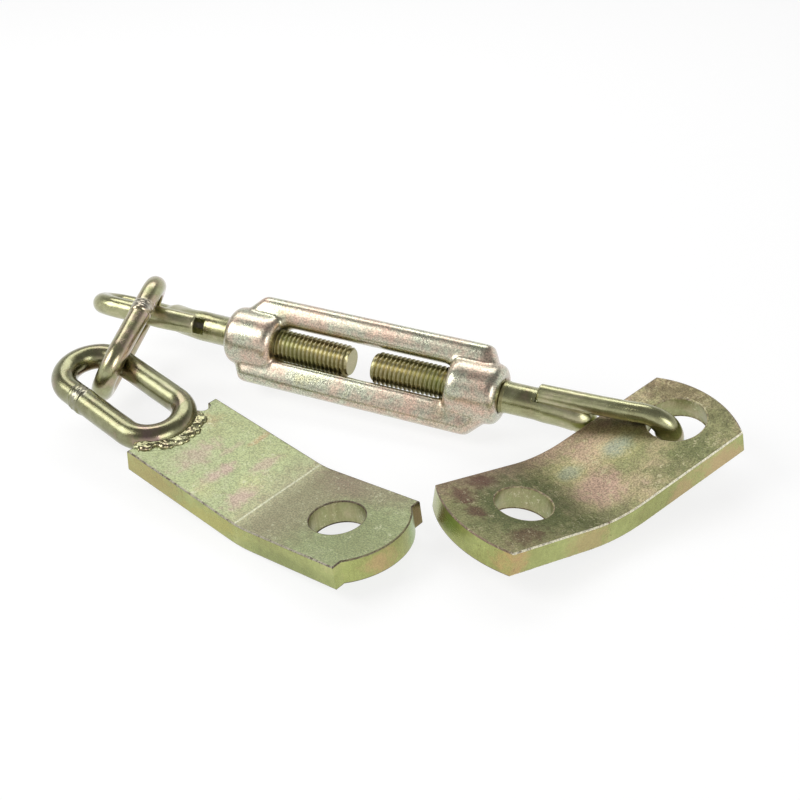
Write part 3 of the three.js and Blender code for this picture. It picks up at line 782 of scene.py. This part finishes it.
leftEye = {
    "route": [
        (0.09, 0), (0.194, -0.1), (0.314, -0.48), (0.434, -0.83), (0.571, -0.99),
        (0.708, -1.02), (0.828, -1), (0.949, -0.71), (1, 0), (0.949, 0.71), (0.828, 1), (0.708, 1.0),
        (0.571, 0.95), (0.4, 0.76), (0.271, 0.6), (0.17, 0.46), (0.09, 0.36),
    ],
    "rod": 5.35, "stem": 7.05, "stemEnd": 111, "drawnEnd": 119, "tail": 5.6,
    "notch": (87.2, 93.6), "notchFloor": 2.8, "notchHalf": 3.7, "shadedPocket": True, "fill": 0,
}
rightEye = {
    "route": [
        (0.06, -0.06), (0.2, -0.12), (0.31, -0.24), (0.37, -0.64), (0.42, -1.1), (0.48, -1.36),
        (0.56, -1.44), (0.66, -1.38), (0.825, -1.166), (0.948, -0.87), (1, -0.166), (0.948, 0.54),
        (0.825, 0.834), (0.63, 0.79), (0.443, 0.74), (0.223, 0.7), (0.1, 0.68), (0, 0.67),
    ],
    "rod": 4.65, "stem": 7.3, "stemEnd": 109, "drawnEnd": 119, "tail": 4.65,
    "notch": (88.7, 90.8), "notchFloor": 5.4, "notchHalf": 4.4, "shadedPocket": False, "fill": 3.4,
}


# Helical thread: the profile of one pitch is carried round the helix, a row for each step, and joined
# to the row one turn further on
def threadSkin(hand, vertices, faces):
    profile = bolt["threadShares"]
    depth = bolt["threadDepth"]
    sides = bolt["threadSides"]
    tip = bolt["tip"]
    end = bolt["threadEnd"]
    pitch = bolt["pitch"]
    rows = round((end - tip) / pitch + 1) * sides
    start = len(vertices)
    for n in range(rows + 1):
        angle = hand * 2 * math.pi * n / sides
        for offset, height in profile:
            station = min(end, max(tip, tip + (n / sides + offset - 1) * pitch))
            fade = 1 - smoothStep(station, end - bolt["fadeTurns"] * pitch, end)
            radius = bolt["threadRadius"] - depth * (1 - height) * fade
            chamfer = bolt["threadRadius"] - depth * bolt["tipDropShare"] + (station - tip) * bolt["tipSlope"]
            radius = min(radius, chamfer)
            vertices.append(Vector((station, radius * math.cos(angle), radius * math.sin(angle))))
    count = len(profile)
    for n in range(rows):
        here = start + n * count
        for k in range(count - 1):
            faces.append((here + k, here + k + 1, here + count + k + 1, here + count + k))
        if n + sides < rows:
            over = here + sides * count
            faces.append((here + count - 1, over, over + count, here + 2 * count - 1))
    faces.append(tuple(start + k * count for k in range(sides)))


# Thickness of the bar where its route has come to, on the way out or on the tail
def barRadius(eye, step, along, gone, total):
    stemEnd = eye["stemEnd"]
    onTail = gone > total / 2
    thick = eye["tail"] if onTail else eye["stem"]
    thick += (eye["rod"] - thick) * smoothStep(along, stemEnd, eye["drawnEnd"])
    if not onTail:
        easeFrom, easeTo = bolt["neckEase"]
        neckShare = 1 - smoothStep(along, step + easeFrom, step + easeTo)
        thick += (bolt["neckRadius"] - eye["stem"]) * neckShare
    elif along < stemEnd:
        thick += (eye["rod"] - thick) * (1 - smoothStep(along, step + bolt["tailEase"], stemEnd))
    return thick - max(0, bolt["tailRound"] - (total - gone))


def makeBolt(name, node, body, place, hand, size, eye):
    step, reach, half = size
    vertices = []
    faces = []
    threadSkin(hand, vertices, faces)
    end = bolt["threadEnd"]
    thick = bolt["neckRadius"]
    lap = step - bolt["neckOverlap"]
    neck = [
        (end, bolt["threadRadius"]), (end + bolt["neckStart"], thick), (step - bolt["neckStop"], thick),
        (lap, thick - bolt["neckTuck"]),
    ]
    rings = [hoop(Vector((s, 0, 0)), Vector((1, 0, 0)), r, bolt["threadSides"]) for s, r in neck]
    skin(rings, False, vertices, faces, (False, False))
    spots = [(step - back, 0, 0) for back in bolt["leadIn"]]
    spots += [(step + along * reach, across * half, 0) for along, across in eye["route"]]
    rows = []
    path = walk(spots, bolt["rodStep"])
    total = path[-1][2]
    notchStart, notchEnd = eye["notch"]
    for i, (spot, heading, gone) in enumerate(path):
        goingOut = gone <= total / 2
        nearNotch = goingOut and spot.x < notchEnd + bolt["fineBeyond"]
        if i % 2 and not nearNotch and i != len(path) - 1:
            continue
        thick = barRadius(eye, step, spot.x, gone, total)
        inNotch = goingOut and notchStart <= spot.x <= notchEnd
        fill = eye["fill"] * smoothStep(spot.x, *bolt["fillBand"])

        def radius(angle, spot=spot, thick=thick, inNotch=inNotch, fill=fill):
            around = Vector((hand * bolt["roughnessSeed"], math.cos(angle), math.sin(angle)))
            around *= bolt["roughnessTurn"]
            out = thick + noise.noise(spot * bolt["roughnessScale"] + around) * bolt["roughness"]
            out += fill * max(0, math.cos(angle)) ** 2
            across = spot.y + out * math.cos(angle)
            if inNotch and across > eye["notchFloor"] and abs(out * math.sin(angle)) < eye["notchHalf"]:
                cosine = max(bolt["leastCosine"], math.cos(angle))
                out = max(bolt["leastRadius"], (eye["notchFloor"] - spot.y) / cosine)
            return out

        rows.append(hoop(spot, heading, radius, bolt["rodSides"]))
    skin(rows, False, vertices, faces)
    mesh = meshFrom(name, vertices, faces)
    cleaner = bmesh.new()
    cleaner.from_mesh(mesh)
    bmesh.ops.remove_doubles(cleaner, verts=cleaner.verts, dist=bolt["mergeGap"] * mm)
    bmesh.ops.dissolve_degenerate(cleaner, edges=cleaner.edges, dist=bolt["sliverGap"] * mm)
    bmesh.ops.recalc_face_normals(cleaner, faces=cleaner.faces)
    wall = bolt["pocketWall"]
    for face in cleaner.faces:
        spot = face.calc_center_median() / mm
        if spot.x < end + bolt["threadFinishOver"]:
            face.material_index = 1
        # Faces inside the notch pocket of the left eye get the near-black third finish: painted shade of the
        # recess
        pocket = notchStart + wall < spot.x < notchEnd - wall and abs(spot.z) < eye["notchHalf"]
        if eye["shadedPocket"] and pocket and 1 < spot.y < eye["notchFloor"] + bolt["pocketRise"]:
            face.material_index = 2
    cleaner.to_mesh(mesh)
    cleaner.free()
    made = placePiece(name, mesh, place, body, node, (boltFinish, threadFinish, pocketShadeFinish))
    smooth(made, bolt["sharpAngle"])


makeBolt(
    "leftEyeBolt", "left_eye_bolt", "left_bolt", leftFrame, 1,
    (bolt["leftStep"], bolt["leftReach"], bolt["leftHalf"]), leftEye,
)
makeBolt(
    "rightEyeBolt", "right_eye_bolt", "right_bolt", rightFrame, -1,
    (bolt["rightStep"], bolt["rightReach"], bolt["rightHalf"]), rightEye,
)
print("eye bolts made")


# Chain link and ring, each one bar bent round with a flash weld on its near side

flashWeld = {
    "skew": 1.2, "swellBand": (2, 3.6), "ridge": 0.3, "ridgeAt": 3, "ridgeBand": (0.1, 0.8),
    "pits": 0.5, "pitScale": 1.6, "pitTurn": 1.5, "pitBand": (2.2, 3.4),
}
bar = {
    "sides": 44, "bendSteps": 60, "farSteps": 50, "nearSteps": 110, "undersize": 0.05,
    "waves": 0.05, "waveScale": 0.2, "turnScale": 1.7, "farAway": 99, "sharpAngle": 60,
}


# Radius of the bar at an angle round it, so far from the weld along the near side
def weldedRadius(size, seed, spot, near, angle):
    w = flashWeld
    around = Vector((math.cos(angle), math.sin(angle), seed)) * bar["turnScale"]
    facing = 0.5 - 0.5 * math.cos(angle - size["weldTurn"])
    off = abs(near + w["skew"] * math.sin(angle))
    swell = size["weldRise"] * facing * (1 - smoothStep(off, *w["swellBand"]))
    ridge = w["ridge"] * (1 - smoothStep(abs(off - w["ridgeAt"]), *w["ridgeBand"])) * facing
    pitted = noise.noise(spot * w["pitScale"] + around * w["pitTurn"]) * w["pits"] * facing
    waved = noise.noise(spot * bar["waveScale"] + around) * bar["waves"]
    pits = pitted * (1 - smoothStep(off, *w["pitBand"]))
    return size["rod"] - bar["undersize"] + swell + ridge + pits + waved


def makeLink(name, node, body, place, size, seed, finish):
    half = size["width"] / 2
    straight = size["length"] / 2 - half

    def bend(middle, start):
        turns = [math.radians(start + 180 * n / bar["bendSteps"]) for n in range(bar["bendSteps"] + 1)]
        spots = [Vector((middle + half * math.cos(a), half * math.sin(a), 0)) for a in turns]
        return [(spot, a + math.pi / 2) for spot, a in zip(spots, turns)]

    def side(across, way, steps, facing):
        alongs = [way * (straight - 2 * straight * n / steps) for n in range(1, steps)]
        return [(Vector((along, across, 0)), facing) for along in alongs]

    stations = bend(straight, -90) + side(half, 1, bar["farSteps"], math.pi)
    stations += bend(-straight, 90) + side(-half, -1, bar["nearSteps"], 2 * math.pi)
    rows = []
    for spot, facing in stations:
        heading = Vector((math.cos(facing), math.sin(facing), 0))
        onNearSide = abs(spot.y + half) < 0.01
        near = spot.x - size["weldAlong"] if onNearSide else bar["farAway"]
        rows.append(hoop(spot, heading, lambda a: weldedRadius(size, seed, spot, near, a), bar["sides"]))
    vertices = []
    faces = []
    skin(rows, True, vertices, faces)
    mesh = meshFrom(name, vertices, faces)
    mesh.validate()
    smooth(placePiece(name, mesh, place, body, node, [finish]), bar["sharpAngle"])


makeLink("shortLink", "middle_link", "short_link", linkFrame, link, 3, linkFinish)
makeLink("weldedRing", "welded_link", "left_end", ringFrame, ring, 8, ringFinish)
print("link and ring made")


# Bent plates, cut flat and then pressed to their angle

def bentPlace(u, v, w, leftAngle, rightAngle, radius):
    a = math.radians(leftAngle)
    b = math.radians(rightAngle)
    halfBend = (a + b) / 2
    tangent = radius * math.tan(halfBend)
    if u >= tangent:
        return Vector((u * math.cos(b) - w * math.sin(b), v, u * math.sin(b) + w * math.cos(b)))
    if u <= -tangent:
        return Vector((u * math.cos(a) + w * math.sin(a), v, -u * math.sin(a) + w * math.cos(a)))
    lean = (b - a) / 2
    reach = radius / math.cos(halfBend)
    centre = (-math.sin(lean) * reach, math.cos(lean) * reach)
    angle = -math.pi / 2 + lean + u / tangent * halfBend
    return Vector((centre[0] + (radius - w) * math.cos(angle), v, centre[1] + (radius - w) * math.sin(angle)))


def makePlate(name, node, body, place, outline, holes, bend, finishes):
    leftAngle, rightAngle, radius = bend
    thick = plate["thickness"]
    steps = plate["holeSteps"]
    lastTurn = 360 - 360 / steps
    loops = [outline] + [arcPoints((x, y), size, 0, lastTurn, steps - 1) for x, y, size in holes]
    shape = bmesh.new()
    shape.from_mesh(outlineCurve(name, loops, thick / 2, plate["edge"], plate["edgeSteps"]))
    bmesh.ops.remove_doubles(shape, verts=shape.verts, dist=plate["mergeGap"] * mm)
    bmesh.ops.recalc_face_normals(shape, faces=shape.faces)
    tangent = radius * math.tan(math.radians(leftAngle + rightAngle) / 2)
    cuts = plate["bendCuts"]
    planes = [((tangent * n / cuts * mm, 0, 0), (1, 0, 0)) for n in range(-cuts, cuts + 1)]
    planes += [((0, 0, (thick / 2 - share * thick) * mm), (0, 0, 1)) for share in plate["levelShares"]]
    for spot, facing in planes:
        everything = shape.verts[:] + shape.edges[:] + shape.faces[:]
        bmesh.ops.bisect_plane(shape, geom=everything, plane_co=spot, plane_no=facing)
    for face in shape.faces:
        centre = face.calc_center_median() / mm
        upright = abs(face.normal.z)
        inHole = any(math.hypot(centre.x - x, centre.y - y) < r + plate["holeRim"] for x, y, r in holes)
        if upright > plate["faceSlant"]:
            face.material_index = 0
        elif upright > plate["edgeSlant"]:
            face.material_index = 3
        else:
            face.material_index = 2 if inHole else 1
    for vertex in shape.verts:
        u, v, w = vertex.co / mm
        w -= thick / 2
        for along, across, size in holes:
            out = Vector((u - along, v - across))
            if abs(out.length - size) < plate["rimGap"]:
                broken = smoothStep(-w / thick, *plate["breakoutShares"])
                out = out.normalized() * (size + plate["breakout"] * broken)
                u = along + out.x
                v = across + out.y
        vertex.co = bentPlace(u, v, w, leftAngle, rightAngle, radius) * mm
    mesh = bpy.data.meshes.new(name)
    shape.to_mesh(mesh)
    shape.free()
    made = placePiece(name, mesh, place, body, node, finishes)
    smooth(made, plate["sharpAngle"])
    even = made.modifiers.new("evenNormals", "WEIGHTED_NORMAL")
    even.keep_sharp = True


# Curved end between two corners
def curvedEnd(corner, apex, low, high, side):
    chord = high - low
    rise = apex - corner
    radius = (chord * chord / 4 + rise * rise) / (2 * rise)
    spread = math.degrees(math.asin(chord / 2 / radius))
    points = arcPoints((apex - radius, (low + high) / 2), radius, -spread, spread, plate["endSteps"])
    return [(side * x, y) for x, y in (points if side > 0 else reversed(points))]


def leftOutline():
    c = leftCut
    width = plate["width"]
    nose = curvedEnd(c["noseShoulder"], c["nose"], c["noseStep"], width - c["noseStep"], 1)
    points = [(-c["wing"], 0), (c["noseShoulder"], 0)]
    points += nose
    points += [(c["noseShoulder"], width), (-c["wing"], width)]
    copeX, copeY, copeR = c["cope"]
    biteX, biteY, biteR = c["bite"]
    turnIn = math.degrees(math.acos((-c["wing"] - biteX) / biteR))
    for x, y in arcPoints((biteX, biteY), biteR, turnIn, -90, plate["biteSteps"]):
        if math.hypot(x - copeX, y - copeY) > copeR:
            points.append((x, y))
    lastX, lastY = points[-1]
    startTurn = math.degrees(math.atan2(lastY - copeY, lastX - copeX))
    endTurn = -math.degrees(math.acos((-c["wing"] - copeX) / copeR))
    points += arcPoints((copeX, copeY), copeR, startTurn, endTurn, plate["copeSteps"])[1:]
    return points


def rightOutline():
    c = rightCut
    width = plate["width"]
    return (
        curvedEnd(c["rightCorner"], c["rightEnd"], 0, width, 1)
        + curvedEnd(c["leftCorner"], c["leftEnd"], 0, width, -1)
    )


makePlate(
    "leftPlate", "left_plate", "left_end", leftPlateFrame, leftOutline(), leftCut["holes"],
    (leftCut["bend"], 0, leftCut["bendRadius"]),
    (leftFaceFinish, leftShearFinish, punchFinish, leftCornerFinish),
)
makePlate(
    "rightPlate", "right_plate", "right_end", rightPlateFrame, rightOutline(), rightCut["holes"],
    (0, rightCut["bend"], rightCut["bendRadius"]),
    (rightFaceFinish, rightShearFinish, punchFinish, rightCornerFinish),
)
print("plates made")


# Weld bead along the let-in bend of the ring, with spatter beside it

bead = {
    "radius": 21.3, "turns": (-60, 50), "ridge": 2.2, "ridgeLumps": 56, "ridgeWave": 0.5,
    "ridgeWaveTurn": 0.9, "ridgeStray": (-0.3, 0.3), "ridgeSize": (0.85, 1.05), "ridgeFlat": 0.75,
    "ridgeHeight": 0.3, "taperFrom": 0.8, "endTaper": 0.4, "flat": 0.6, "height": 0.1,
    "spatter": 8, "spatterOut": (3, 5), "spatterSize": (0.35, 0.8), "rows": 7, "sides": 12,
    "voxel": 0.3, "softenBy": 0.5, "softenPasses": 14, "swells": [(0.5, 0.3), (1.5, 0.05)],
    "sharpAngle": 80,
    "blobs": [
        (-58, 1.2, 2.0), (-54, 1.8, 2.4), (-49, 2.2, 2.5), (-44, 2.2, 2.1), (-27, 2.0, 2.7), (-20, 2.8, 2.3),
        (-9, 2.2, 3.0), (-2, 3.4, 2.2), (9, 1.9, 3.0), (17, 3.2, 2.3), (29, 1.7, 2.7), (37, 2.8, 2.7),
        (45, 1.4, 2.0),
    ],
}


def makeBead():
    vertices = []
    faces = []
    x, y = leftCut["cope"][:2]
    first, last = bead["turns"]

    # A flattened ball at a turn round the let-in, so far out from its centre
    def lump(turn, reach, height, size, flat):
        angle = math.radians(turn)
        start = len(vertices)
        rows = bead["rows"]
        sides = bead["sides"]
        middleX = x + reach * math.cos(angle)
        middleY = y + reach * math.sin(angle)
        for i in range(rows + 1):
            up = math.pi * i / rows
            for k in range(sides):
                around = 2 * math.pi * k / sides
                vertices.append((
                    middleX + size * math.sin(up) * math.cos(around),
                    middleY + size * math.sin(up) * math.sin(around),
                    height + size * flat * math.cos(up),
                ))
        for i in range(rows):
            for k in range(sides):
                n = (k + 1) % sides
                a = start + i * sides
                faces.append((a + k, a + sides + k, a + sides + n, a + n))

    for n in range(bead["ridgeLumps"]):
        share = n / (bead["ridgeLumps"] - 1)
        wave = bead["ridgeWave"] * math.sin(n * bead["ridgeWaveTurn"])
        reach = bead["radius"] + wave + dice.uniform(*bead["ridgeStray"])
        nearEnd = smoothStep(abs(2 * share - 1), bead["taperFrom"], 1)
        size = bead["ridge"] * dice.uniform(*bead["ridgeSize"]) * (1 - bead["endTaper"] * nearEnd)
        lump(first + (last - first) * share, reach, bead["ridgeHeight"], size, bead["ridgeFlat"])
    for turn, out, size in bead["blobs"]:
        lump(turn, bead["radius"] + out, bead["height"], size, bead["flat"])
    for n in range(bead["spatter"]):
        turn = dice.uniform(first, last)
        reach = bead["radius"] + dice.uniform(*bead["spatterOut"])
        lump(turn, reach, bead["height"], dice.uniform(*bead["spatterSize"]), bead["flat"])
    rough = addObject("weldBead", meshFrom("weldBead", vertices, faces))
    fuse(rough, bead["voxel"], bead["softenBy"], bead["softenPasses"])
    mesh = takeMesh(rough)
    for vertex in mesh.vertices:
        spot = vertex.co / mm
        push = sum(noise.noise(spot * scale) * rise for scale, rise in bead["swells"])
        vertex.co += vertex.normal * push * mm
    made = placePiece("weldBead", mesh, wingFrame, "left_end", "link_plate_weld", [weldFinish])
    smooth(made, bead["sharpAngle"])


makeBead()
print("weld bead made")


# Studio: pale floor, white surround, soft lamps; places and sizes in metres

studio = {
    "floor": 6.0, "floorColour": (0.86, 0.86, 0.86), "sideLight": 0.45, "ceiling": 0.24,
    "horizon": 0.1, "zenith": 0.7, "floorGlow": 1.12, "floorShare": 0.7,
    "lampAim": (0, 0, 0.02),
}


def makeFloor():
    size = studio["floor"]
    mesh = bpy.data.meshes.new("studioFloor")
    corners = [(-size, -size, 0), (size, -size, 0), (size, size, 0), (-size, size, 0)]
    mesh.from_pydata(corners, [], [(0, 1, 2, 3)])
    made = addObject("studioFloor", mesh)
    material = bpy.data.materials.new("paleFloor")
    material.use_nodes = True
    tree = material.node_tree
    tree.nodes.clear()
    seen = addNode(tree, "ShaderNodeLightPath").outputs
    shown = mathNode(tree, "MAXIMUM", seen["Is Camera Ray"], seen["Is Glossy Ray"])
    matt = addNode(tree, "ShaderNodeBsdfDiffuse", Color=studio["floorColour"] + (1,))
    glow = addNode(tree, "ShaderNodeEmission", Color=(1, 1, 1, 1), Strength=studio["floorGlow"])
    share = mathNode(tree, "MULTIPLY", shown, studio["floorShare"])
    mixed = addNode(tree, "ShaderNodeMixShader", _0=share, _1=matt.outputs[0], _2=glow.outputs[0])
    addNode(tree, "ShaderNodeOutputMaterial", Surface=mixed.outputs[0])
    mesh.materials.append(material)


def makeWorld():
    world = bpy.data.worlds.new("studio")
    bpy.context.scene.world = world
    world.use_nodes = True
    tree = world.node_tree
    tree.nodes.clear()
    seen = addNode(tree, "ShaderNodeLightPath").outputs
    facing = addNode(tree, "ShaderNodeTexCoord").outputs["Generated"]
    rise = addNode(tree, "ShaderNodeSeparateXYZ", Vector=facing).outputs["Z"]
    low = span(tree, rise, studio["horizon"], studio["zenith"], 1.0, 0.0)
    room = mixColour(tree, low, (studio["ceiling"],) * 3 + (1,), (studio["sideLight"],) * 3 + (1,))
    backdrop = mathNode(tree, "MULTIPLY", seen["Is Glossy Ray"], low)
    shown = mathNode(tree, "MAXIMUM", seen["Is Camera Ray"], backdrop)
    colour = mixColour(tree, shown, room, (1, 1, 1, 1))
    light = addNode(tree, "ShaderNodeBackground", Color=colour, Strength=1.0)
    addNode(tree, "ShaderNodeOutputWorld", Surface=light.outputs[0])


def makeLamp(name, place, size, power):
    lamp = bpy.data.lights.new(name, "AREA")
    lamp.shape = "RECTANGLE"
    lamp.size, lamp.size_y = size
    lamp.energy = power
    made = addObject(name, lamp)
    made.location = place
    aim = Vector(studio["lampAim"]) - Vector(place)
    made.rotation_euler = aim.to_track_quat("-Z", "Y").to_euler()


# The camera's place is in millimetres, from the forged body's centre
view = {
    "lens": 57.53, "sensor": 36, "clipStart": 0.01, "place": (241.62, -475.13, 334.97),
    "right": (0.91562, 0.40009, -0.03963), "up": (-0.1931, 0.52408, 0.82949),
    "back": (0.35264, -0.75185, 0.55711),
}


def makeCamera():
    camera = bpy.data.cameras.new("camera")
    camera.sensor_width = view["sensor"]
    camera.lens = view["lens"]
    camera.clip_start = view["clipStart"]
    made = addObject("camera", camera)
    axes = Matrix((view["right"], view["up"], view["back"])).transposed().to_4x4()
    made.matrix_world = Matrix.Translation(Vector(view["place"]) * mm + bodyCentre) @ axes
    bpy.context.scene.camera = made


makeFloor()
makeWorld()
makeLamp("topBox", place=(-0.3, 0.55, 0.8), size=(0.9, 0.35), power=3.2)
makeLamp("keyBox", place=(-0.8, -0.5, 0.9), size=(0.7, 0.7), power=7.5)
makeLamp("fillBox", place=(1.0, -0.6, 0.6), size=(0.6, 0.6), power=5.0)
makeCamera()
bpy.context.scene.view_settings.view_transform = "Standard"
print("studio set")
